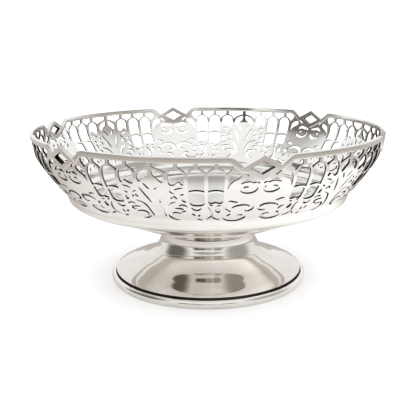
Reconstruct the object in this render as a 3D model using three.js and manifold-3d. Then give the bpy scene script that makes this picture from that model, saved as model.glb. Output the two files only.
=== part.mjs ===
// Pierced silver pedestal bowl: one saw-pierced sheet bowl, six rim rails with six open
// lozenges between them, a spun foot and the bead ring round the foot's edge.
// Millimetres, +Z up, origin on the table under the middle of the foot.
import * as THREE from 'three';
import { mergeVertices } from 'three/addons/utils/BufferGeometryUtils.js';
import Module from 'manifold-3d';

const wasm = await Module();
wasm.setup();

// ---- driving dimensions -------------------------------------------------------------
const RIM_RADIUS = 120;
const HEIGHT = 107;
const SECTIONS = 6;                    // repeats of the pattern round the bowl
const FIRST_LOZENGE_DEG = -75.5;       // front right lozenge, measured from +X
const SHEET = 1.2;                     // thickness of the bowl's and the foot's sheet
const GAP = 0.3;                       // clearance between pieces that touch
const BOWL_STEPS = 60;                 // facets round the bowl
const FOOT_STEPS = 60;                 // facets round the foot
const FOOT_ROWS = 10;                  // facets down the foot's flare
const CURVE_SAMPLES = 800;             // samples used to measure the wall's length
const HALF_SECTION_DEG = 180 / SECTIONS;

// rim rail: a flat strip that stands a little proud of the sheet, with a slanted tail
// at each end that runs down to the lozenge
const RAIL_HEIGHT = 2.8;
const RAIL_PROUD = 0.6;
const RAIL_THICKNESS = 2.4;
const RAIL_CORNER_DEG = 8.5;           // from the lozenge's middle to the rail's corner
const RAIL_STEPS = 18;
const BEHIND_RAIL = 1;                 // how far cuts in the sheet run up behind a rail

// open lozenge, with a short stub at each side tip that the tail butts against
const LOZENGE_HALF_WIDTH = 12.0;
const LOZENGE_TOP = 0.1;
const LOZENGE_LOW = 12.1;
const STUB_TOP = 4.7;
const STUB_ROOT = 9.4;                 // where the stub leaves the lozenge's sides
const LOZENGE_PROUD = 0.9;
const LOZENGE_THICKNESS = 2.6;
const OPENING_HALF_WIDTH = 7.0;
const OPENING_HALF_HEIGHT = 3.8;
const OPENING_MIDDLE = 6.0;
const FRAME_SIDE_PARTS = 2;            // facets along each side of the frame's outline
const OPENING_SIDE_PARTS = 3;          // and along each side of its opening

// outside of the bowl's sheet, from the rim down to the middle of its base
const WALL = [
  [RIM_RADIUS - RAIL_PROUD, HEIGHT], [118.3, 98.5], [115.7, 90], [104.3, 73.3], [98.6, 66.8],
  [96.8, 61.3], [91.3, 57.5], [81.7, 55.2], [70, 49.4], [34, 34.4],
];
const BASE_MIDDLE_Z = 33.4;
const WALL_ROWS = [21.8, 31, 39, 47, 53, 57, 62, 70, 84];    // depths where its facets meet

// outside of the spun foot, from the neck down to its edge, and the bead round it
const FOOT = [
  [34, 34.2], [33.6, 30], [34.8, 26.2], [37.9, 21], [45.6, 15.2], [54, 11.7], [62, 8.9],
  [65.6, 7.4], [66.3, 5.8],
];
const FOOT_EDGE_Z = 1.0;
const BEAD_OUT = 2.9;                  // how far the bead stands out from the foot's edge
const BEAD_HALF_HEIGHT = 3.0;
const BEAD_TURN_DEG = [90, 60, 30, 0, -30, -56];
const BEAD_UNDERCUT = 0.3;             // step in from the bead to the ring's flat underside

// arcade: angles from the middle of a section, depths down the wall from the rim
const ARCH_PITCH = 5.3;
const ARCH_CENTRES = [7.1, 12.4, 17.7];
const WIDE_ARCH_HALF = 4.45;
const ARCH_TOP = 5.2;
const ARCH_SPRING = 8.6;
const PILLAR_HALF = 0.45;
const WINDOW_HALF = 2.3;
const WINDOW_TOP = 6.7;
const WINDOW_RISE = 3.2;
const UPPER_SILL = 20.8;
const SILL_RISE = 1.0;
const LOWER_TOP = 22.9;
const LOWER_SILL = 29.6;
const LEAF_SILL = 15.5;                // the arch next to the wide one is half filled
const TAIL_SIDE_REACH = 0.6;           // the last spandrel stops short of the rail's tail
// leaf shaped opening beside the wide arch's middle, as [degrees, depth] points
const FAN = [[0.9, 7.2], [2.2, 7.9], [3.3, 9.8], [3.5, 13], [3.2, 17], [2.4, 18.6], [1, 14]];
// oval opening under the arcade: degrees, depth and half sizes
const OVAL = { deg: 15, depth: 38, halfWidth: 2.4, halfHeight: 3.6, points: 6 };

const rad = THREE.MathUtils.degToRad;
const mmPerDegree = rad(1) * RIM_RADIUS;

// ---- wall curve, measured along its length -------------------------------------------
const wallCurve = new THREE.SplineCurve(WALL.map(([r, z]) => new THREE.Vector2(r, z)));
wallCurve.arcLengthDivisions = CURVE_SAMPLES;
const wallLength = wallCurve.getLength();

// point of the wall's outside at a depth down the wall, moved out by an offset
function wallPoint(depth, offset) {
  const u = THREE.MathUtils.clamp(depth / wallLength, 0, 1);
  const point = wallCurve.getPointAt(u);
  const tangent = wallCurve.getTangentAt(u);
  return new THREE.Vector2(point.x - tangent.y * offset, point.y + tangent.x * offset);
}

// lays a flat extrusion (x along the rim, y up the wall, z outward) onto the wall
function wrapOnWall(geometry, middleDeg) {
  const place = geometry.getAttribute('position');
  for (let i = 0; i < place.count; i += 1) {
    const spot = wallPoint(-place.getY(i), place.getZ(i));
    const angle = rad(middleDeg + place.getX(i) / mmPerDegree);
    place.setXYZ(i, spot.x * Math.cos(angle), spot.x * Math.sin(angle), spot.y);
  }
  return geometry;
}

// flat extrusion of an outline of [mm along the rim, depth down the wall] points
function slab(outline, inner, outer, hole = null) {
  const shape = new THREE.Shape(outline.map(([x, depth]) => new THREE.Vector2(x, -depth)));
  if (hole) shape.holes.push(new THREE.Path(hole.map(([x, depth]) => new THREE.Vector2(x, -depth))));
  const geometry = new THREE.ExtrudeGeometry(shape, { depth: outer - inner, bevelEnabled: false });
  return geometry.translate(0, 0, inner);
}

// a closed outline with each straight side split into equal parts
function splitSides(corners, parts) {
  return corners.flatMap(([x, y], i) => {
    const [nextX, nextY] = corners[(i + 1) % corners.length];
    return Array.from({ length: parts }, (_, k) => [
      x + (nextX - x) * k / parts, y + (nextY - y) * k / parts,
    ]);
  });
}

// ---- solids --------------------------------------------------------------------------
function toSolid(geometry) {
  const bare = geometry.clone();
  bare.deleteAttribute('normal');
  bare.deleteAttribute('uv');
  const merged = mergeVertices(bare, 1e-4);
  return new wasm.Manifold(new wasm.Mesh({
    numProp: 3,
    vertProperties: new Float32Array(merged.getAttribute('position').array),
    triVerts: new Uint32Array(merged.getIndex().array),
  }));
}

function toGeometry(solid) {
  const { vertProperties, triVerts } = solid.getMesh();
  const geometry = new THREE.BufferGeometry();
  geometry.setAttribute('position', new THREE.BufferAttribute(vertProperties, 3));
  geometry.setIndex(new THREE.BufferAttribute(triVerts, 1));
  geometry.computeVertexNormals();
  return geometry;
}

// a profile of [radius, height] points turned about the vertical axis
function turned(profile, steps) {
  const points = profile.map(([r, z]) => new THREE.Vector2(r, z));
  return new THREE.LatheGeometry(points, steps).rotateX(Math.PI / 2);
}

// ---- the pierced bowl ----------------------------------------------------------------
function bowlProfile() {
  const depths = [RAIL_HEIGHT + GAP, ...WALL_ROWS, wallLength];
  const outside = depths.map((depth) => wallPoint(depth, 0).toArray());
  const inside = depths.map((depth) => wallPoint(depth, -SHEET).toArray());
  return [[0, BASE_MIDDLE_Z], ...outside.reverse(), ...inside, [0, BASE_MIDDLE_Z + SHEET]];
}

// half of a round arch from its top to its springing, as [x, depth] points
function archSide(halfWidth, top, rise, side) {
  return [0, 0.5, 1].map((part) => [
    side * halfWidth * Math.sin(part * Math.PI / 2),
    top + rise * (1 - Math.cos(part * Math.PI / 2)),
  ]);
}

// opening with a round top and a sill that may rise in the middle
function archWindow(centre, top, rise, sill, sillRise) {
  const half = WINDOW_HALF * mmPerDegree;
  const middle = centre * mmPerDegree;
  const outline = [
    ...archSide(half, top, rise, 1), [half, sill], [0, sill - sillRise], [-half, sill],
    ...archSide(half, top, rise, -1).reverse().slice(0, -1),
  ];
  return outline.map(([x, depth]) => [x + middle, depth]);
}

// opening between two arches: flat under the rail, V shaped over the springing
function spandrel(centre, leftReach, rightReach) {
  const arm = (reach, side) => [1, 0.5].map((part) => [
    side * reach * part * mmPerDegree,
    ARCH_SPRING - (ARCH_SPRING - ARCH_TOP) * Math.sqrt(1 - (1 - part) ** 2),
  ]);
  const above = RAIL_HEIGHT - BEHIND_RAIL;
  const outline = [
    [-leftReach * mmPerDegree, above], [rightReach * mmPerDegree, above],
    ...arm(rightReach, 1), [0, ARCH_SPRING], ...arm(leftReach, -1).reverse(),
  ];
  return outline.map(([x, depth]) => [x + centre * mmPerDegree, depth]);
}

function oval({ deg, depth, halfWidth, halfHeight, points }) {
  return Array.from({ length: points }, (_, k) => {
    const turn = k * 2 * Math.PI / points;
    return [deg * mmPerDegree + halfWidth * Math.cos(turn), depth + halfHeight * Math.sin(turn)];
  });
}

// openings of half a section, on the side of rising angle
function halfSectionOpenings() {
  const reach = ARCH_PITCH / 2 - PILLAR_HALF;
  const valleys = [WIDE_ARCH_HALF, ARCH_CENTRES[1] - ARCH_PITCH / 2, ARCH_CENTRES[2] - ARCH_PITCH / 2];
  return [
    spandrel(valleys[0], WIDE_ARCH_HALF - 2 * PILLAR_HALF, reach),
    spandrel(valleys[1], reach, reach),
    spandrel(valleys[2], reach, reach),
    spandrel(ARCH_CENTRES[2] + ARCH_PITCH / 2, reach, TAIL_SIDE_REACH),
    FAN.map(([deg, depth]) => [deg * mmPerDegree, depth]),
    archWindow(ARCH_CENTRES[0], WINDOW_TOP, WINDOW_RISE, LEAF_SILL, 0),
    archWindow(ARCH_CENTRES[1], WINDOW_TOP, WINDOW_RISE, UPPER_SILL, SILL_RISE),
    archWindow(ARCH_CENTRES[2], WINDOW_TOP, WINDOW_RISE, UPPER_SILL, SILL_RISE),
    archWindow(ARCH_CENTRES[1], LOWER_TOP - SILL_RISE, SILL_RISE, LOWER_SILL, -SILL_RISE),
    archWindow(ARCH_CENTRES[2], LOWER_TOP - SILL_RISE, SILL_RISE, LOWER_SILL, -SILL_RISE),
    oval(OVAL),
  ];
}

// seat that the sheet leaves free for a lozenge and for the tails of its two rails
function lozengeSeat() {
  const corner = RAIL_CORNER_DEG * mmPerDegree + GAP;
  const stubLow = STUB_TOP + RAIL_HEIGHT + GAP;
  const side = [
    [corner, RAIL_HEIGHT - BEHIND_RAIL], [corner, RAIL_HEIGHT + GAP], [LOZENGE_HALF_WIDTH, stubLow],
    [STUB_ROOT, stubLow],
  ];
  const mirrored = side.map(([x, depth]) => [-x, depth]);
  return [...side, [0, LOZENGE_LOW + GAP], ...mirrored.reverse()];
}

function bowl() {
  const cutDepth = 2 * SHEET;
  let solid = toSolid(turned(bowlProfile(), BOWL_STEPS));
  for (let k = 0; k < SECTIONS; k += 1) {
    const lozengeDeg = FIRST_LOZENGE_DEG + k * 2 * HALF_SECTION_DEG;
    const seat = wrapOnWall(slab(lozengeSeat(), -cutDepth, cutDepth), lozengeDeg);
    solid = solid.subtract(toSolid(seat));
    for (const opening of halfSectionOpenings()) {
      for (const side of [1, -1]) {
        const outline = side > 0 ? opening : opening.map(([x, depth]) => [-x, depth]);
        const cutter = wrapOnWall(slab(outline, -cutDepth, cutDepth), lozengeDeg + HALF_SECTION_DEG);
        solid = solid.subtract(toSolid(cutter));
      }
    }
  }
  return toGeometry(solid);
}

// ---- rim -----------------------------------------------------------------------------
function rail(middleDeg) {
  const corner = (HALF_SECTION_DEG - RAIL_CORNER_DEG) * mmPerDegree;
  const end = HALF_SECTION_DEG * mmPerDegree - LOZENGE_HALF_WIDTH - GAP;
  const level = 1 - 2 / RAIL_STEPS;
  const box = new THREE.BoxGeometry(2, RAIL_HEIGHT, RAIL_THICKNESS, RAIL_STEPS, 1, 1);
  const place = box.getAttribute('position');
  for (let i = 0; i < place.count; i += 1) {
    const share = Math.abs(place.getX(i));
    const intoTail = Math.max(0, share - level) / (1 - level);
    const reach = Math.min(share / level, 1) * corner + intoTail * (end - corner);
    place.setX(i, Math.sign(place.getX(i)) * reach);
    place.setY(i, place.getY(i) - RAIL_HEIGHT / 2 - intoTail * STUB_TOP);
    place.setZ(i, place.getZ(i) + RAIL_PROUD - RAIL_THICKNESS / 2);
  }
  return wrapOnWall(box, middleDeg);
}

function lozenge(middleDeg) {
  const stubLow = STUB_TOP + RAIL_HEIGHT;
  const side = [[0, LOZENGE_TOP], [STUB_ROOT, STUB_TOP + GAP], [LOZENGE_HALF_WIDTH, STUB_TOP]];
  const lowSide = [[LOZENGE_HALF_WIDTH, stubLow], [STUB_ROOT, stubLow - GAP], [0, LOZENGE_LOW]];
  const right = [...side, ...lowSide];
  const left = right.slice(1, -1).map(([x, depth]) => [-x, depth]);
  const outline = splitSides([...right, ...left.reverse()], FRAME_SIDE_PARTS);
  const opening = splitSides([
    [OPENING_HALF_WIDTH, OPENING_MIDDLE], [0, OPENING_MIDDLE - OPENING_HALF_HEIGHT],
    [-OPENING_HALF_WIDTH, OPENING_MIDDLE], [0, OPENING_MIDDLE + OPENING_HALF_HEIGHT],
  ], OPENING_SIDE_PARTS);
  return wrapOnWall(slab(outline, LOZENGE_PROUD - LOZENGE_THICKNESS, LOZENGE_PROUD, opening), middleDeg);
}

// ---- foot ----------------------------------------------------------------------------
function foot() {
  const curve = new THREE.SplineCurve(FOOT.map(([r, z]) => new THREE.Vector2(r, z - GAP)));
  const outside = [];
  const inside = [];
  for (let k = 0; k <= FOOT_ROWS; k += 1) {
    const point = curve.getPointAt(k / FOOT_ROWS);
    const tangent = curve.getTangentAt(k / FOOT_ROWS);
    outside.push([point.x, point.y]);
    inside.push([point.x + tangent.y * SHEET, point.y - tangent.x * SHEET]);
  }
  const edge = FOOT.at(-1)[0];
  const profile = [...outside, [edge, FOOT_EDGE_Z], [edge - SHEET, FOOT_EDGE_Z], ...inside.reverse()];
  return turned([...profile, profile[0]].reverse(), FOOT_STEPS);
}

function footRing() {
  const inner = FOOT.at(-1)[0] + GAP;
  const bead = BEAD_TURN_DEG.map((turn) => [
    inner + BEAD_OUT * Math.cos(rad(turn)), BEAD_HALF_HEIGHT * (1 + Math.sin(rad(turn))),
  ]);
  const ledgeEnd = bead.at(-1)[0] - BEAD_UNDERCUT;
  const profile = [...bead, [ledgeEnd, 0], [inner, 0]];
  return turned([...profile, profile[0]].reverse(), FOOT_STEPS);
}

// ---- assembly ------------------------------------------------------------------------
function silver(tint, roughness) {
  return new THREE.MeshStandardMaterial({ color: tint, roughness, metalness: 1 });
}

function piece(name, geometry, material) {
  const mesh = new THREE.Mesh(geometry, material);
  mesh.name = name;
  return mesh;
}

const group = new THREE.Group();
group.add(piece('bowl', bowl(), silver(0xe9e8e5, 0.12)));
for (let k = 0; k < SECTIONS; k += 1) {
  const lozengeDeg = FIRST_LOZENGE_DEG + k * 2 * HALF_SECTION_DEG;
  group.add(piece(`rim_lozenge_${k + 1}`, lozenge(lozengeDeg), silver(0xdedbd6, 0.15)));
  group.add(piece(`rim_rail_${k + 1}`, rail(lozengeDeg + HALF_SECTION_DEG), silver(0xe2e0dc, 0.14)));
}
group.add(piece('foot', foot(), silver(0xe9e8e5, 0.1)));
group.add(piece('foot_ring', footRing(), silver(0xdcd9d4, 0.12)));

export default group;
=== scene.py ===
"""Looks of a saw-pierced silver bowl on a spun foot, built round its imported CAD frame.

Patterns are drawn once, on half of one of the six sections of the wall, as outlines of
(a, s): a is the angle in degrees from the section's middle (0) to the lozenge (30), and s
is the depth in millimetres down the outside of the wall from the rim. Lengths are in
millimetres until they are placed, and metres after that.
"""
import math

import bmesh
import bpy
import numpy as np
from mathutils import Matrix, Vector, geometry


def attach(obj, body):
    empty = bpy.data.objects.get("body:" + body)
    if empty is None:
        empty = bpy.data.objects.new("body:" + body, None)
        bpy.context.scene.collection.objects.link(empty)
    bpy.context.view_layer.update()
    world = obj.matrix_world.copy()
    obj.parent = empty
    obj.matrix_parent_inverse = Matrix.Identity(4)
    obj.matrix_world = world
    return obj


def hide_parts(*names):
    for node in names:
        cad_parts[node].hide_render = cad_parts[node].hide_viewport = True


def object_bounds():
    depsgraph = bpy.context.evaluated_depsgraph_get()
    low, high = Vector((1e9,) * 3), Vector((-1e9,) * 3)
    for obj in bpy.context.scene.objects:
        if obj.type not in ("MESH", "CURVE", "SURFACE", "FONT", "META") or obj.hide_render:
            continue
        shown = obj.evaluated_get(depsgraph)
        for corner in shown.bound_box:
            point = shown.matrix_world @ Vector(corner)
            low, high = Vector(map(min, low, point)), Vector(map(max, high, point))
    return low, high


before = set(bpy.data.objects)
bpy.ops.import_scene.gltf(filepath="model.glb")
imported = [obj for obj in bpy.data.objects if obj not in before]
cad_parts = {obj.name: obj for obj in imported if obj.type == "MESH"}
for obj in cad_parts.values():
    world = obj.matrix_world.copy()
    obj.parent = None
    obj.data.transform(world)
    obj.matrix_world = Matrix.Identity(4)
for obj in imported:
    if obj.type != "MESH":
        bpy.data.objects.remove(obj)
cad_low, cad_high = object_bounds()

# ---- sizes, all from the frame's height and the CAD's own proportions -----------------
HEIGHT = 107.0
METRES = cad_high.z / HEIGHT
SECTIONS = 6
SECTION_DEG = 360 / SECTIONS
FIRST_LOZENGE_DEG = -75.5
FIRST_SECTION_DEG = FIRST_LOZENGE_DEG + SECTION_DEG / 2
SHEET = 1.2
RIM_RADIUS = 120.0
RIM_MM_PER_DEGREE = math.radians(1) * RIM_RADIUS

# outside of the bowl, from the rim down to its base, and of the foot, from the neck down
WALL = [
    (119.4, 107), (118.3, 98.5), (115.7, 90), (104.3, 73.3), (98.6, 66.8), (96.8, 61.3),
    (91.3, 57.5), (81.7, 55.2), (70, 49.4), (34, 34.4),
]
BASE_MIDDLE_Z = 33.4
FOOT = [
    (34, 34.2), (33.6, 30), (34.8, 26.2), (37.9, 21), (45.6, 15.2), (54, 11.7), (62, 8.9), (65.6, 7.4),
]
LIP = [(66.2, 7.05), (66.2, 6.9), (65.5, 6.85)]         # its edge, over the recess, which is painted dark as shade
RECESS_FOOT_Z = 1.0
BEAD = [
    (65.7, 4.5), (66.6, 5.35), (67.6, 5.5), (68.7, 4.95), (69.35, 3.8), (69.5, 2.6), (69.25, 1.3),
    (68.6, 0.35), (68.0, 0.0),
]
BEAD_INSIDE = 65.7
TURNED_STEPS = 240
FOOT_ROWS = 64

RAIL_HEIGHT = 3.5
RAIL_MIDDLE = 1.15
RAIL_PROUD = 0.6
RAIL_THICKNESS = 2.4
RAIL_ROUNDING = 0.55
RAIL_TAIL = [(24.9, 7.1), (24.27, 6.0), (23.2, 4.1), (22.1, 2.2), (21.5, 1.4), (20.8, RAIL_MIDDLE)]
RAIL_FLAT_A = 19.6
RAIL_FLAT_POINTS = 15

LOZENGE_MIDDLE = 6.0
LOZENGE_OPENING = (7.0, 3.8)
LOZENGE_BAR = 2.8
LOZENGE_PROUD = 0.9
LOZENGE_THICKNESS = 3.2
LOZENGE_BEVEL = 0.2
LOZENGE_SIDE_PARTS = 10

PATTERN_TOP = 2.3                   # the sheet's upper edge, behind the rails
PATTERN_BOTTOM = 50.0
SHEET_SEAT = [(17.8, 2.3), (12.0, 7.0), (9.4, 6.6), (0, 11.4)]    # mm from the lozenge, and s


# ---- curves ---------------------------------------------------------------------------
def through(points, closed=False, step=0.5):
    """Points along a smooth curve through the given ones, about a step apart."""
    p = [np.array(q, float) for q in points]
    n = len(p)
    out = []
    for i in range(n if closed else n - 1):
        if closed:
            p0, p1, p2, p3 = p[i - 1], p[i], p[(i + 1) % n], p[(i + 2) % n]
        else:
            p0, p1, p2, p3 = p[max(i - 1, 0)], p[i], p[i + 1], p[min(i + 2, n - 1)]
        parts = max(2, math.ceil(np.linalg.norm(p2 - p1) / step))
        v1, v2 = (p2 - p0) / 2, (p3 - p1) / 2
        for k in range(parts):
            t = k / parts
            out.append(
                (2 * t**3 - 3 * t**2 + 1) * p1 + (t**3 - 2 * t**2 + t) * v1
                + (3 * t**2 - 2 * t**3) * p2 + (t**3 - t**2) * v2
            )
    if not closed:
        out.append(p[-1])
    return out


class Profile:
    """A smooth (radius, height) curve, measured by its length."""

    def __init__(self, points):
        self.line = np.array(through(points, step=0.1))
        steps = np.linalg.norm(np.diff(self.line, axis=0), axis=1)
        self.at = np.concatenate([[0], np.cumsum(steps)])
        self.length = self.at[-1]
        way = np.gradient(self.line, self.at, axis=0)
        self.way = way / np.linalg.norm(way, axis=1)[:, None]

    def point(self, s):
        """Radius and height at a length, carried straight on before the start."""
        s = np.asarray(s, float)
        over = np.minimum(s, 0)
        r, z = (np.interp(s, self.at, self.line[:, k]) for k in (0, 1))
        return r + over * self.way[0, 0], z + over * self.way[0, 1]

    def normal(self, s):
        """Radial and vertical parts of the outward normal at a length."""
        tr, tz = (np.interp(s, self.at, self.way[:, k]) for k in (0, 1))
        return -tz, tr


wall = Profile(WALL)


def mm_per_degree(s):
    return math.radians(1) * float(wall.point(s)[0])


def placed(angle_deg, s, offset):
    """Metres in the frame of points at angles, depths down the wall and offsets outward."""
    r, z = wall.point(s)
    nr, nz = wall.normal(s)
    turn = np.radians(angle_deg)
    radius = r + nr * offset
    return np.stack([radius * np.cos(turn), radius * np.sin(turn), z + nz * offset], -1) * METRES


def wall_normals(angle_deg, s):
    nr, nz = wall.normal(s)
    turn = np.radians(angle_deg)
    return np.stack([nr * np.cos(turn), nr * np.sin(turn), nz + 0 * turn], -1)


# ---- openings of half a section -------------------------------------------------------
SLOT_STEP = 0.45
SLOT_END = 0.15                     # width of a cut's ends, as a share of its middle
SLOT_SWELL = 0.42                   # share of its length over which it reaches full width


def slot(points, width):
    """A smooth saw cut along a line, widest in its middle, in millimetres across."""
    line = through(points, step=SLOT_STEP)
    n = len(line) - 1
    left, right = [], []
    for i, (a, s) in enumerate(line):
        before, after = line[max(i - 1, 0)], line[min(i + 1, n)]
        k = mm_per_degree(s)
        dx, dy = (after[0] - before[0]) * k, after[1] - before[1]
        size = math.hypot(dx, dy)
        from_end = min(i / n, 1 - i / n)
        half = width / 2 * (SLOT_END + (1 - SLOT_END) * math.sqrt(min(1, from_end / SLOT_SWELL)))
        left.append((a - dy / size * half / k, s + dx / size * half))
        right.append((a + dy / size * half / k, s - dx / size * half))
    return left + right[::-1]


def patch(points):
    """A smooth closed opening through the given points."""
    return [tuple(p) for p in through(points, closed=True, step=0.6)]


def arc(middle, top, half, rise):
    """Half an ellipse over a middle, from its lower to its higher angle."""
    turns = np.linspace(math.pi, 0, 15)
    return [(middle + half * math.cos(t), top + rise * (1 - math.sin(t))) for t in turns]


ARCHES = (7.05, 12.4, 17.7)
WINDOW_HALF = 2.15
WINDOW_TOP, WINDOW_RISE = 6.4, 4.2
LOW_WINDOW_TOP, LOW_WINDOW_RISE = 21.2, 1.5
VALLEYS = (4.35, 9.75, 15.05)
SPANDREL_TIP, SPANDREL_RISE, SPANDREL_ROUNDNESS = 8.9, 3.6, 0.62
PAST_EDGE = 0.6                     # how far cuts run past the sheet's upper edge


def window(middle, top, rise, foot):
    """An opening with a round top over a list of points along its sill, right to left."""
    return arc(middle, top, WINDOW_HALF, rise) + [(middle + a, s) for a, s in foot]


def spandrel(middle, left, right):
    """The opening over a valley between two arches, under the rail."""
    def arm(reach):
        """From the outer end of one side almost to the tip."""
        return [
            (middle + reach * (1 - u), SPANDREL_TIP - SPANDREL_RISE * (1 - u) ** SPANDREL_ROUNDNESS)
            for u in np.linspace(0, 1, 9)[:-1]
        ]
    top = PATTERN_TOP - PAST_EDGE
    return (
        [(middle - left, top), (middle + right, top)]
        + arm(right) + [(middle, SPANDREL_TIP)] + arm(-left)[::-1]
    )


def half_section_openings():
    """All the cuts of half a section, as closed outlines of (a, s)."""
    side = WINDOW_HALF
    top = PATTERN_TOP - PAST_EDGE
    sill = [(side, 20.7), (1.2, 20.0), (0, 19.7), (-1.2, 20.0), (-side, 20.7)]
    cusps = [
        (side, 29.0), (1.7, 30.0), (0.9, 30.2), (0, 29.4), (-0.9, 30.2), (-1.7, 30.0), (-side, 29.0),
    ]
    deep = [(side, 30.4), (1.5, 31.8), (0, 32.3), (-1.5, 31.8), (-side, 30.4)]
    leaf_arch = [
        (side, 14.2), (1.8, 16.0), (1.2, 15.2), (0.9, 13.8), (0.2, 14.4), (-0.6, 15.9), (-1.6, 16.2),
        (-side, 14.8),
    ]
    return [
        # arcade
        spandrel(VALLEYS[0], 3.75, 2.2), spandrel(VALLEYS[1], 2.2, 2.15),
        spandrel(VALLEYS[2], 2.15, 2.15),
        [(18.25, top), (21.0, top), (22.0, 4.2), (21.7, 6.6), (20.5, 9.2), (19.6, 6.9), (18.25, 5.3)],
        window(ARCHES[1], WINDOW_TOP, WINDOW_RISE, sill),
        window(ARCHES[2], WINDOW_TOP, WINDOW_RISE, sill),
        window(ARCHES[1], LOW_WINDOW_TOP, LOW_WINDOW_RISE, deep),
        window(ARCHES[2], LOW_WINDOW_TOP, LOW_WINDOW_RISE, cusps),
        window(ARCHES[0], WINDOW_TOP, WINDOW_RISE, leaf_arch),
        # wide middle arch with its hanging drop
        patch([(0.55, 7.0), (2.1, 7.7), (3.5, 9.8), (3.75, 12.6), (3.2, 14.4), (2.3, 13.2), (1.7, 11.6),
               (0.75, 10.2)]),
        slot([(2.2, 14.9), (1.5, 17.0), (0.8, 19.3)], 1.3),
        slot([(3.8, 18.0), (3.1, 21.0), (2.2, 25.2), (1.3, 30.0)], 1.35),
        slot([(6.2, 28.6), (4.2, 30.4), (3.0, 33.4), (2.3, 37.8), (2.0, 42.4)], 1.6),
        # leaves under the arch beside it
        slot([(6.3, 19.2), (7.3, 18.0), (8.8, 17.4)], 1.1),
        slot([(5.0, 26.4), (5.3, 24.7), (6.1, 24.3), (6.7, 26.4)], 1.5),
        slot([(7.7, 23.2), (8.9, 22.1)], 1.3),
        slot([(6.2, 22.0), (5.3, 21.2), (5.0, 19.6)], 1.0),
        slot([(6.7, 32.2), (7.8, 31.1), (8.8, 31.6), (9.4, 32.8)], 1.3),
        patch([(8.6, 25.0), (9.2, 26.6), (9.1, 29.0), (8.3, 28.6), (8.0, 26.6)]),
        slot([(5.4, 34.4), (7.0, 34.2), (8.3, 35.2), (8.2, 36.8), (7.2, 37.2)], 1.7),
        slot([(7.4, 38.9), (6.0, 37.9), (4.5, 38.2), (3.5, 40.3), (3.7, 43.2), (4.9, 45.1),
              (6.3, 45.3)], 1.9),
        # leaves under the second arch
        slot([(10.5, 33.2), (11.3, 35.0), (12.3, 35.6), (13.2, 34.4), (13.4, 32.8)], 1.4),
        slot([(10.6, 38.4), (11.5, 40.6)], 1.5),
        slot([(12.9, 38.6), (12.6, 41.6)], 1.4),
        slot([(12.0, 43.7), (12.7, 44.8), (13.8, 45.2)], 1.4),
        # leaves under the third arch
        slot([(15.6, 32.8), (16.5, 36.4), (16.5, 40.6), (15.0, 44.6)], 1.4),
        patch([(18.4, 33.4), (19.2, 35.0), (19.2, 37.2), (18.6, 38.2), (17.8, 36.8), (17.6, 34.8)]),
        slot([(16.6, 41.4), (17.6, 43.6), (19.3, 45.1)], 1.4),
        slot([(15.8, 30.3), (16.9, 31.8)], 1.1),
        slot([(18.0, 31.9), (19.4, 31.4)], 1.1),
        # scrolls beside and under the lozenge
        patch([(20.8, 18.6), (20.9, 13.2), (21.5, 10.3), (22.7, 8.9), (24.1, 8.9), (24.4, 10.3),
               (23.7, 12.0), (22.4, 13.5), (21.4, 15.8)]),
        slot([(24.6, 8.2), (25.6, 9.0), (26.3, 10.5)], 1.3),
        patch([(26.0, 11.9), (27.4, 12.6), (29.35, 13.9), (29.3, 15.4), (28.5, 14.6), (27.7, 15.0),
               (26.9, 14.2), (25.6, 14.5), (24.2, 15.1), (25.0, 13.2)]),
        slot([(28.6, 16.8), (29.0, 18.8), (28.2, 20.9), (26.6, 21.7), (24.9, 20.7), (24.3, 18.9)], 1.9),
        slot([(25.1, 18.2), (25.7, 17.1), (26.6, 17.5)], 1.3),
        slot([(21.3, 28.3), (22.4, 28.0), (23.2, 28.7), (24.3, 29.3)], 1.5),
        slot([(22.6, 34.2), (23.4, 32.7), (25.2, 31.5), (27.2, 31.5), (28.7, 33.1), (28.9, 35.4),
              (27.9, 37.0), (26.6, 36.6)], 2.1),
        slot([(20.5, 34.4), (21.6, 35.4), (22.3, 37.4)], 1.5),
        slot([(21.3, 41.2), (22.5, 39.0)], 1.4),
        slot([(20.2, 43.4), (21.2, 45.2), (23.0, 46.0), (25.4, 45.6), (27.0, 43.8), (27.0, 41.6),
              (25.7, 40.2), (24.6, 40.9)], 2.0),
    ]


# ---- pierced sheet --------------------------------------------------------------------
FLAT = 1.9                # millimetres drawn for a degree while the sheet is triangulated
GRID = 2.4                # spacing of the free points of the sheet
ROW_SHARE = 0.87          # spacing of their rows, as a share of it
BORDER_STEP = 1.5
CUT_STEP = 1.2
MERGE_DISTANCE = 1e-4


def split(points, step):
    """A closed outline with its long sides split into parts no longer than a step."""
    out = []
    for p, q in zip(points, points[1:] + points[:1]):
        da, ds = q[0] - p[0], q[1] - p[1]
        parts = max(1, math.ceil(math.hypot(da * FLAT, ds) / step - 1e-6))
        out += [(p[0] + da * k / parts, p[1] + ds * k / parts) for k in range(parts)]
    return out


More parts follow.
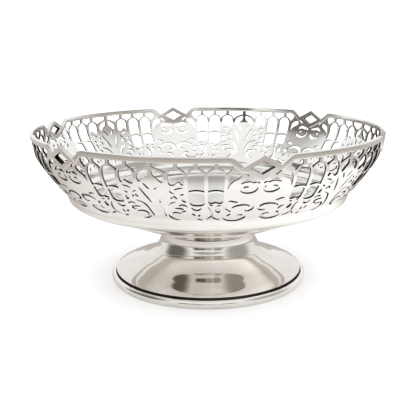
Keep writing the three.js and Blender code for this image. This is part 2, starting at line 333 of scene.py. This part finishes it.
def half_section_sheet():
    """Points (a, s) and triangles of the metal of half a section."""
    half = SECTION_DEG / 2
    seat = [(half - x / RIM_MM_PER_DEGREE, s) for x, s in SHEET_SEAT]
    foot_row = [(half - k, PATTERN_BOTTOM) for k in range(int(half) + 1)]
    top = split([(0, PATTERN_TOP)] + seat, BORDER_STEP)
    border = top[: top.index(seat[-1]) + 1]
    side = np.linspace(seat[-1][1], PATTERN_BOTTOM, 17)[1:-1]
    middle = np.linspace(PATTERN_BOTTOM, PATTERN_TOP, 21)[1:-1]
    border += [(half, s) for s in side] + foot_row + [(0, s) for s in middle]
    loops = [border] + [split(o, CUT_STEP) for o in half_section_openings()]
    rows = np.arange(PATTERN_TOP + 1, PATTERN_BOTTOM - 1, GRID * ROW_SHARE)
    free = [
        (a, s) for i, s in enumerate(rows)
        for a in np.arange(0.6 + 0.6 * (i % 2), half - 0.4, GRID / FLAT)
    ]
    points, faces = [], []
    for loop in loops:
        flat = [Vector((a * FLAT, -s)) for a, s in loop]
        if sum(p.x * q.y - q.x * p.y for p, q in zip(flat, flat[1:] + flat[:1])) < 0:
            flat.reverse()
        faces.append(list(range(len(points), len(points) + len(flat))))
        points += flat
    points += [Vector((a * FLAT, -s)) for a, s in free]
    made, _, triangles, _, _, owners = geometry.delaunay_2d_cdt(points, [], faces, 0, MERGE_DISTANCE)
    metal = [tuple(t) for t, own in zip(triangles, owners) if own == [0]]
    return [(p.x / FLAT, -p.y) for p in made], metal


class Sheet:
    """Points (angle, s) and triangles of the whole wall, with shared points joined."""

    def __init__(self):
        self.points, self.faces, self.known = [], [], {}

    def point(self, angle, s):
        key = (round(angle % 360, 3) % 360, round(s, 3))
        if key not in self.known:
            self.known[key] = len(self.points)
            self.points.append((angle, s))
        return self.known[key]

    def face(self, corners):
        ids = [self.point(*c) for c in corners]
        if len(set(ids)) == len(ids):
            self.faces.append(ids)


def bowl_sheet():
    """The pierced wall: twelve half sections, every other one mirrored."""
    sheet = Sheet()
    points, metal = half_section_sheet()
    for k in range(SECTIONS):
        middle = FIRST_SECTION_DEG + k * SECTION_DEG
        for way in (1, -1):
            for tri in metal:
                corners = [(middle + way * points[i][0], points[i][1]) for i in tri]
                sheet.face(corners if way < 0 else corners[::-1])
    return sheet


DISH_START = 76.0                   # depth where the wall has turned into the dish
SOFT_CORNER = 0.75                  # cosine between cut sides, over which their edge is smoothed


def plain_rows():
    """Depths of the rows of the plain part of the bowl, under the pierced wall."""
    turn = np.linspace(PATTERN_BOTTOM, DISH_START, 19)
    return [*turn, *np.linspace(DISH_START, wall.length, 11)[1:]]


def build_bowl():
    """The sheet's outside and inside, its base, and the walls of the cuts (second material, painted
    dark as shade).
    """
    sheet = bowl_sheet()
    rows = plain_rows()
    for up, low in zip(rows, rows[1:]):
        for k in range(360):
            a, b = FIRST_SECTION_DEG + k, FIRST_SECTION_DEG + k + 1
            sheet.face([(a, up), (a, low), (b, low), (b, up)])
    angle, s = (np.array(c) for c in zip(*sheet.points))
    n = len(angle)
    out = placed(angle, s, 0.0)
    inn = placed(angle, s, -SHEET)
    normal = wall_normals(angle, s)
    middles = np.array([[0, 0, BASE_MIDDLE_Z], [0, 0, BASE_MIDDLE_Z + SHEET]]) * METRES
    places = np.concatenate([out, inn, middles])
    normals = np.concatenate([normal, -normal, [[0, 0, -1], [0, 0, 1]]])
    faces, loop_normals, slots = [], [], []

    def add(ids, corner_normals, slot):
        faces.append(ids)
        loop_normals.extend(corner_normals)
        slots.append(slot)

    def add_smooth(ids):
        add(ids, [normals[i] for i in ids], 0)

    sides = {}
    for ids in sheet.faces:
        a, b, c = (places[i] for i in ids[:3])
        face = ids if np.dot(np.cross(b - a, c - a), normal[ids[0]]) > 0 else ids[::-1]
        add_smooth(face)
        add_smooth([i + n for i in face[::-1]])
        sides.update(dict.fromkeys(zip(face, face[1:] + face[:1])))
    open_sides = [(p, q) for p, q in sides if (q, p) not in sides]
    base = {i for i in range(n) if abs(s[i] - wall.length) < 1e-6}
    for p, q in open_sides:
        if p in base and q in base:
            add_smooth([q, p, 2 * n])
            add_smooth([p + n, q + n, 2 * n + 1])

    cut_normals = {}
    for p, q in open_sides:
        if not (p in base and q in base):
            across = np.cross(inn[p] - out[q], inn[q] - out[p])
            cut_normals[(p, q)] = across / max(np.linalg.norm(across), 1e-12)
    starts = {side[0]: side for side in cut_normals}
    stops = {side[1]: side for side in cut_normals}
    for (p, q), own in cut_normals.items():
        corners = []
        for other in (stops.get(p), starts.get(q)):
            near = cut_normals[other] if other else own
            joined = own + near if np.dot(own, near) > SOFT_CORNER else own
            corners.append(joined / np.linalg.norm(joined))
        # the cut walls take the second slot: silver painted dark as shade
        add([q, p, p + n, q + n], [corners[1], corners[0], corners[0], corners[1]], 1)
    return finished("bowl_pierced", places, faces, loop_normals, slots)


def linked(name, mesh):
    piece = bpy.data.objects.new(name, mesh)
    bpy.context.collection.objects.link(piece)
    return piece


def finished(name, places, faces, loop_normals, slots):
    """A piece with its own material slots and normals."""
    mesh = bpy.data.meshes.new(name)
    mesh.from_pydata([tuple(p) for p in places], [], faces)
    mesh.polygons.foreach_set("material_index", slots)
    mesh.polygons.foreach_set("use_smooth", [True] * len(mesh.polygons))
    mesh.normals_split_custom_set([tuple(m) for m in loop_normals])
    return linked(name, mesh)


# ---- rails and lozenges ---------------------------------------------------------------
def rounded_section(width, height, radius, corner_parts=4):
    """A rectangle with round corners, centred on the origin, turning one way."""
    out = []
    for k, (sx, sy) in enumerate([(1, 1), (-1, 1), (-1, -1), (1, -1)]):
        for j in range(corner_parts + 1):
            turn = math.radians(90 * k + 90 * j / corner_parts)
            out.append((
                sx * (width / 2 - radius) + radius * math.cos(turn),
                sy * (height / 2 - radius) + radius * math.sin(turn),
            ))
    return out


def rail_line():
    """Centre line (a, s) of a rail, from one slanted tail to the other."""
    flat = [(a, RAIL_MIDDLE) for a in np.linspace(RAIL_FLAT_A, 0, RAIL_FLAT_POINTS)]
    right = RAIL_TAIL + flat
    return [(-a, s) for a, s in right] + right[-2::-1]


def build_rail(index, middle_deg):
    """A rounded strip swept along the rim and down both its tails."""
    line = rail_line()
    section = rounded_section(RAIL_HEIGHT, RAIL_THICKNESS, RAIL_ROUNDING)
    k = RIM_MM_PER_DEGREE
    rings = []
    for i, (a, s) in enumerate(line):
        p, q = line[max(i - 1, 0)], line[min(i + 1, len(line) - 1)]
        dx, dy = (q[0] - p[0]) * k, q[1] - p[1]
        size = math.hypot(dx, dy)
        nx, ny = -dy / size, dx / size
        rings.append([
            (middle_deg + a + across * nx / k, s + across * ny, RAIL_PROUD - RAIL_THICKNESS / 2 + depth)
            for across, depth in section
        ])
    places = np.array([placed(*np.array(r).T) for r in rings]).reshape(-1, 3)
    m = len(section)
    faces = [
        [i * m + j, i * m + (j + 1) % m, (i + 1) * m + (j + 1) % m, (i + 1) * m + j]
        for i in range(len(rings) - 1) for j in range(m)
    ]
    faces += [list(range(m))[::-1], list(range((len(rings) - 1) * m, len(rings) * m))]
    return simple(f"rail_{index}", places, faces, 50)


def build_lozenge(index, middle_deg):
    """An open rhombus frame with small bevels. Its opening's sides have the second material, painted
    dark as shade.
    """
    half_x, half_y = LOZENGE_OPENING
    to_side = half_x * half_y / math.hypot(half_x, half_y)
    parts, bevel = LOZENGE_SIDE_PARTS, LOZENGE_BEVEL

    def ring(distance, depth):
        grow = distance / to_side
        corners = [(half_x * grow, 0), (0, half_y * grow), (-half_x * grow, 0), (0, -half_y * grow)]
        out = []
        for (x0, y0), (x1, y1) in zip(corners, corners[1:] + corners[:1]):
            shares = [j / parts for j in range(parts)]
            out += [(x0 + (x1 - x0) * u, y0 + (y1 - y0) * u, depth) for u in shares]
        return out

    inner, outer = to_side, to_side + LOZENGE_BAR
    back, front = LOZENGE_PROUD - LOZENGE_THICKNESS, LOZENGE_PROUD
    rings = [
        ring(inner, back + bevel), ring(inner, front - bevel), ring(inner + bevel, front),
        ring(outer - bevel, front),
        ring(outer, front - bevel), ring(outer, back + bevel), ring(outer - bevel, back),
        ring(inner + bevel, back),
    ]
    x, y, depth = np.array(rings).reshape(-1, 3).T
    places = placed(middle_deg + x / RIM_MM_PER_DEGREE, LOZENGE_MIDDLE + y, depth)
    m = 4 * parts
    n = len(rings)
    faces = [
        [i * m + j, i * m + (j + 1) % m, (i + 1) % n * m + (j + 1) % m, (i + 1) % n * m + j]
        for i in range(n) for j in range(m)
    ]
    lozenge = simple(f"lozenge_{index}", places, faces, 25)
    # opening's sides: the cut-wall silver, painted shade
    for face in lozenge.data.polygons[:m]:
        face.material_index = 1
    return lozenge


def simple(name, places, faces, smooth_below_deg):
    """A closed mesh with its faces looking out, smooth but for its sharp edges."""
    mesh = bpy.data.meshes.new(name)
    mesh.from_pydata([tuple(p) for p in places], [], faces)
    bm = bmesh.new()
    bm.from_mesh(mesh)
    bmesh.ops.recalc_face_normals(bm, faces=bm.faces)
    bm.to_mesh(mesh)
    bm.free()
    mesh.polygons.foreach_set("use_smooth", [True] * len(mesh.polygons))
    mesh.set_sharp_from_angle(angle=math.radians(smooth_below_deg))
    return linked(name, mesh)


# ---- turned pieces --------------------------------------------------------------------
def turned(name, profile, smooth_below_deg):
    """A closed (radius, height) outline turned about the vertical axis."""
    steps = TURNED_STEPS
    turns = np.radians(np.arange(steps) * 360 / steps)
    r, z = np.array(profile).T
    places = np.stack([
        np.outer(np.cos(turns), r), np.outer(np.sin(turns), r), np.outer(np.ones(steps), z),
    ], -1).reshape(-1, 3) * METRES
    m = len(profile)
    faces = [
        [i * m + j, i * m + (j + 1) % m, (i + 1) % steps * m + (j + 1) % m, (i + 1) % steps * m + j]
        for i in range(steps) for j in range(m)
    ]
    return simple(name, places, faces, smooth_below_deg)


def mark_material(piece, outline_points, first, last):
    """Gives the second material to the bands of a turned piece between two outline points."""
    for face in piece.data.polygons:
        face.material_index = 1 if first <= face.index % outline_points < last else 0


def build_foot():
    """The trumpet, with a lip over the recess that the bead sits under; the lip's underside and the
    recess are painted dark as shade.
    """
    curve = Profile(FOOT)
    at = np.linspace(0, curve.length, FOOT_ROWS)
    r, z = curve.point(at)
    nr, nz = curve.normal(at)
    outside = list(zip(r, z))
    inside = list(zip(r - nr * SHEET, z - nz * SHEET))
    low = [(LIP[-1][0], RECESS_FOOT_Z), (LIP[-1][0] - SHEET, RECESS_FOOT_Z)]
    profile = outside + LIP + low + inside[::-1]
    foot = turned("foot_trumpet", profile, 35)
    first_dark = len(outside) + 1
    mark_material(foot, len(profile), first_dark, first_dark + 2)
    return foot


def build_ring():
    profile = [tuple(p) for p in through(BEAD, step=0.3)] + [(BEAD_INSIDE, 0.0)]
    return turned("foot_bead", profile, 40)


# ---- materials ------------------------------------------------------------------------
class Nodes:
    """Short ways to add and join the nodes of one tree."""

    def __init__(self, tree):
        self.tree = tree

    def add(self, kind, **values):
        """A new node. Each value goes to the input or the setting of that name."""
        node = self.tree.nodes.new(kind)
        for key, value in values.items():
            if key in node.inputs:
                node.inputs[key].default_value = value
            else:
                setattr(node, key, value)
        return node

    def join(self, out, into):
        self.tree.links.new(out, into)

    def noise(self, place, scale, detail, roughness):
        node = self.add("ShaderNodeTexNoise", Scale=scale, Detail=detail, Roughness=roughness)
        self.join(place, node.inputs["Vector"])
        return node.outputs["Fac"]

    def spread(self, value, low, high, to_low=0.0, to_high=1.0, soft=False):
        """A value's range mapped onto another."""
        node = self.add("ShaderNodeMapRange", interpolation_type="SMOOTHSTEP" if soft else "LINEAR")
        names = ("From Min", "From Max", "To Min", "To Max")
        for name, number in zip(names, (low, high, to_low, to_high)):
            node.inputs[name].default_value = number
        self.join(value, node.inputs["Value"])
        return node.outputs["Result"]

    def ramp(self, value, stops):
        """Colours along a value, from (position, colour) stops."""
        node = self.add("ShaderNodeValToRGB")
        elements = node.color_ramp.elements
        while len(elements) < len(stops):
            elements.new(0.5)
        for element, (at, colour) in zip(elements, stops):
            element.position = at
            element.color = (*colour, 1)
        self.join(value, node.inputs["Fac"])
        return node.outputs["Color"]

    def over(self, factor, under, colour):
        """A plain colour laid over another by a factor."""
        node = self.add("ShaderNodeMix", data_type="RGBA")
        self.join(factor, node.inputs["Factor"])
        self.join(under, node.inputs["A"])
        node.inputs["B"].default_value = (*colour, 1)
        return node.outputs["Result"]

    def mirrored(self, direct, seen_in_silver):
        """A plain colour, but another where a mirror ray sees it."""
        node = self.add("ShaderNodeMix", data_type="RGBA")
        self.join(self.add("ShaderNodeLightPath").outputs["Is Glossy Ray"], node.inputs["Factor"])
        node.inputs["A"].default_value = (*direct, 1)
        self.join(seen_in_silver, node.inputs["B"])
        return node.outputs["Result"]

    def along(self, place, way):
        """How far a place lies along a way."""
        node = self.add("ShaderNodeVectorMath", operation="DOT_PRODUCT")
        node.inputs[1].default_value = way
        self.join(place, node.inputs[0])
        return node.outputs["Value"]

    def bump(self, height, distance, under=None):
        """A normal bumped by a height, over another bump if there is one."""
        node = self.add("ShaderNodeBump", Strength=1.0, Distance=distance)
        self.join(height, node.inputs["Height"])
        if under:
            self.join(under, node.inputs["Normal"])
        return node.outputs["Normal"]


def new_material(name):
    """A new material, with its nodes and its shader."""
    material = bpy.data.materials.new(name)
    material.use_nodes = True
    return material, Nodes(material.node_tree), material.node_tree.nodes["Principled BSDF"]


# noises over the object's metres: scale, detail, roughness
TARNISH_NOISE = (38.0, 6.0, 0.62)
POLISH_NOISE = (150.0, 5.0, 0.7)
DENT_NOISE = (55.0, 2.0, 0.45)
LINE_NOISE = (1.0, 3.0, 0.6)
TARNISH_FROM, TARNISH_TO = 0.36, 0.66
POLISH_FROM, POLISH_TO = 0.3, 0.75
SCRATCH_TURN = (0.4, 0.7, 0.3)
SCRATCH_STRETCH = (260, 1900, 1300)
TURNING_STRETCH = (1500, 1, 900)    # along the radius and the height
# slope of the normal at which the painted shade of the cut walls is full
FACING_SHADE_FULL_SLOPE = 0.4


def turning_place(n, place):
    """Radius and height of a place, so that noise on it makes rings."""
    level = n.add("ShaderNodeVectorMath", operation="MULTIPLY")
    level.inputs[1].default_value = (1, 1, 0)
    n.join(place, level.inputs[0])
    radius = n.add("ShaderNodeVectorMath", operation="LENGTH")
    n.join(level.outputs[0], radius.inputs[0])
    parts = n.add("ShaderNodeSeparateXYZ")
    n.join(place, parts.inputs[0])
    joined = n.add("ShaderNodeCombineXYZ")
    n.join(radius.outputs["Value"], joined.inputs["X"])
    n.join(parts.outputs["Z"], joined.inputs["Z"])
    stretch = n.add("ShaderNodeVectorMath", operation="MULTIPLY")
    stretch.inputs[1].default_value = TURNING_STRETCH
    n.join(joined.outputs[0], stretch.inputs[0])
    return stretch.outputs[0]


def scratch_place(n, place):
    """Place stretched along one slanted way, so that noise on it makes fine scratches."""
    stretch = n.add("ShaderNodeMapping", Rotation=SCRATCH_TURN, Scale=SCRATCH_STRETCH)
    n.join(place, stretch.inputs["Vector"])
    return stretch.outputs[0]


def silver(name, bright, dull, rough, rougher, dent, line, turned_lines=False, facing_shade=None):
    """Silver with soft dents, fine scratches or turning lines, uneven polish and a warm
    tarnish. Where a shade colour is given, painted shade covers it where it faces up or down,
    as the shade inside saw cuts. Dents and lines are in metres."""
    material, n, shader = new_material(name)
    place = n.add("ShaderNodeTexCoord").outputs["Object"]
    cloud = n.noise(place, *TARNISH_NOISE)
    colour = n.ramp(cloud, [(TARNISH_FROM, dull), (TARNISH_TO, bright)])
    # painted shade: a dark colour laid over the silver where the surface faces up or down
    if facing_shade:
        facing = n.add("ShaderNodeSeparateXYZ")
        n.join(n.add("ShaderNodeNewGeometry").outputs["Normal"], facing.inputs[0])
        slope = n.add("ShaderNodeMath", operation="ABSOLUTE")
        n.join(facing.outputs["Z"], slope.inputs[0])
        colour = n.over(n.spread(slope.outputs[0], 0, FACING_SHADE_FULL_SLOPE), colour, facing_shade)
    n.join(colour, shader.inputs["Base Color"])
    polish = n.spread(n.noise(place, *POLISH_NOISE), POLISH_FROM, POLISH_TO, rough, rougher)
    n.join(polish, shader.inputs["Roughness"])
    shader.inputs["Metallic"].default_value = 1.0
    dents = n.bump(n.noise(place, *DENT_NOISE), dent)
    lines_place = turning_place(n, place) if turned_lines else scratch_place(n, place)
    n.join(n.bump(n.noise(lines_place, *LINE_NOISE), line, dents), shader.inputs["Normal"])
    return material


# ---- stage ----------------------------------------------------------------------------
CAMERA_LENS = 59.57
CAMERA_BACK = 0.4774                # metres in front of the bowl's middle
CAMERA_ABOVE = 0.0667               # metres over its top
CAMERA_PITCH_DEG, CAMERA_ROLL_DEG = 14.67, -0.338

FLOOR_HALF = 6.0
FLOOR_WHITE = (0.93, 0.93, 0.93)
# painted shade on the floor that only mirror rays see: colours by the distance from its brightest
# spot, and a dimmer one behind the bowl
FLOOR_BRIGHT_SPOT = (0.06, 0.0, 0.0)
FLOOR_MIRRORED_SHADE_STOPS = [
    (0.0, (0.86, 0.855, 0.845)), (0.15, (0.73, 0.72, 0.705)), (0.30, (0.33, 0.305, 0.28)),
    (0.55, (0.245, 0.222, 0.20)), (1.0, (0.285, 0.265, 0.245)),
]
FLOOR_BACK_WAY = (-0.1, 0.95, 0.0)
FLOOR_BACK_FROM, FLOOR_BACK_TO = -0.02, 0.12
FLOOR_BACK = (0.36, 0.335, 0.31)

TENT_LIGHT = (1.7, 1.7, 1.7)
TENT_WHITE = (0.95, 0.95, 0.945)
# soft dim or warm openings that the silver mirrors: direction, inner and outer angle, colour
TENT_OPENINGS = [
    ((0, 0.208, 0.978), 4, 25, (0.40, 0.39, 0.37)),
    ((-0.93, -0.15, 0.33), 12, 38, (0.17, 0.155, 0.14)),
    ((0.9, -0.25, 0.3), 10, 40, (0.42, 0.40, 0.37)),
    ((-0.25, -0.96, 0.02), 8, 22, (0.55, 0.52, 0.48)),
    ((0.39, -0.92, 0.16), 6, 16, (0.40, 0.37, 0.34)),
    ((-0.45, -0.88, 0.15), 5, 11, (0.11, 0.095, 0.08)),
    ((-0.24, -0.96, 0.15), 4, 9, (0.16, 0.145, 0.13)),
    ((0.03, -0.98, 0.15), 4, 10, (0.42, 0.40, 0.37)),
]


def add_camera():
    data = bpy.data.cameras.new("camera")
    data.sensor_width = 36
    data.lens = CAMERA_LENS
    data.clip_start, data.clip_end = 0.01, 20
    camera = bpy.data.objects.new("camera", data)
    bpy.context.collection.objects.link(camera)
    pitch = Matrix.Rotation(math.radians(90 - CAMERA_PITCH_DEG), 4, "X")
    roll = Matrix.Rotation(math.radians(CAMERA_ROLL_DEG), 4, "Z")
    spot = Matrix.Translation((0, -CAMERA_BACK, cad_high.z + CAMERA_ABOVE))
    camera.matrix_world = spot @ pitch @ roll
    bpy.context.scene.camera = camera


def add_floor():
    """A white table, with painted shade that mirror rays see, warmer and dimmer away from the bowl."""
    mesh = bpy.data.meshes.new("floor")
    corners = [(x * FLOOR_HALF, y * FLOOR_HALF, 0) for x, y in ((-1, -1), (1, -1), (1, 1), (-1, 1))]
    mesh.from_pydata(corners, [], [(0, 1, 2, 3)])
    floor = linked("floor", mesh)
    material, n, shader = new_material("floor_white")
    shader.inputs["Roughness"].default_value = 0.9
    shader.inputs["Specular IOR Level"].default_value = 0.1
    place = n.add("ShaderNodeTexCoord").outputs["Object"]
    away = n.add("ShaderNodeVectorMath", operation="DISTANCE")
    away.inputs[1].default_value = FLOOR_BRIGHT_SPOT
    n.join(place, away.inputs[0])
    around = n.ramp(away.outputs["Value"], FLOOR_MIRRORED_SHADE_STOPS)
    behind = n.spread(n.along(place, FLOOR_BACK_WAY), FLOOR_BACK_FROM, FLOOR_BACK_TO, soft=True)
    seen = n.over(behind, around, FLOOR_BACK)
    n.join(n.mirrored(FLOOR_WHITE, seen), shader.inputs["Base Color"])
    mesh.materials.append(material)


def add_world():
    """A white light tent, with soft dim or warm openings that only mirror rays see."""
    world = bpy.data.worlds.new("tent")
    bpy.context.scene.world = world
    world.use_nodes = True
    n = Nodes(world.node_tree)
    place = n.add("ShaderNodeTexCoord").outputs["Generated"]
    tent = n.add("ShaderNodeRGB")
    tent.outputs[0].default_value = (*TENT_WHITE, 1)
    colour = tent.outputs[0]
    for way, inner, outer, shade in TENT_OPENINGS:
        near = n.along(place, Vector(way).normalized())
        edge = n.spread(near, math.cos(math.radians(outer)), math.cos(math.radians(inner)), soft=True)
        colour = n.over(edge, colour, shade)
    background = world.node_tree.nodes["Background"]
    n.join(n.mirrored(TENT_LIGHT, colour), background.inputs["Color"])
    view = bpy.context.scene.view_settings
    view.view_transform = "Standard"
    view.look = "None"


# ---- assembly -------------------------------------------------------------------------
def dress(piece, materials, slot_name, *nodes):
    """Gives a piece its materials and puts it in the place of its CAD nodes."""
    for material in materials:
        piece.data.materials.append(material)
    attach(piece, "root")
    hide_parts(*nodes)


def build():
    wall_silver = silver(
        "silver_wall", (0.96, 0.955, 0.945), (0.90, 0.885, 0.86), 0.05, 0.12, 0.00018, 0.0000012)
    # cut walls: a dark copy of the silver, painted shade for the shade inside the saw cuts
    cut_wall_shade = silver(
        "silver_cut_wall_shade", (0.24, 0.225, 0.21), (0.12, 0.11, 0.10), 0.14, 0.26, 0.0001, 0.000004,
        facing_shade=(0.03, 0.027, 0.025))
    rail_silver = silver(
        "silver_rail", (0.93, 0.92, 0.905), (0.84, 0.825, 0.80), 0.08, 0.16, 0.00012, 0.000002)
    lozenge_silver = silver(
        "silver_lozenge", (0.93, 0.92, 0.905), (0.82, 0.80, 0.77), 0.08, 0.16, 0.0001, 0.000002)
    # painted shade: the foot's silver is darker and warmer than the wall's, for the shade it sits in
    # and mirrors under the bowl
    foot_silver_shaded = silver(
        "silver_foot", (0.84, 0.815, 0.775), (0.75, 0.72, 0.675), 0.04, 0.09, 0.00008, 0.0000012,
        turned_lines=True)
    bead_silver = silver(
        "silver_bead", (0.92, 0.905, 0.885), (0.82, 0.80, 0.76), 0.08, 0.15, 0.00008, 0.000002,
        turned_lines=True)
    # lip's underside and recess: near-black silver, painted shade in the gap over the bead
    recess = silver(
        "silver_groove_painted_shade", (0.1, 0.09, 0.08), (0.03, 0.03, 0.03), 0.4, 0.6, 0.0001, 0.000002)

    dress(build_bowl(), [wall_silver, cut_wall_shade], "silver_bowl", "bowl")
    for k in range(1, SECTIONS + 1):
        lozenge_deg = FIRST_LOZENGE_DEG + (k - 1) * SECTION_DEG
        lozenge = build_lozenge(k, lozenge_deg)
        dress(lozenge, [lozenge_silver, cut_wall_shade], "silver_lozenge", f"rim_lozenge_{k}")
        rail = build_rail(k, lozenge_deg + SECTION_DEG / 2)
        dress(rail, [rail_silver], "silver_rim", f"rim_rail_{k}")
    dress(build_foot(), [foot_silver_shaded, recess], "silver_foot", "foot")
    dress(build_ring(), [bead_silver], "silver_ring", "foot_ring")


add_camera()
add_world()
add_floor()
build()
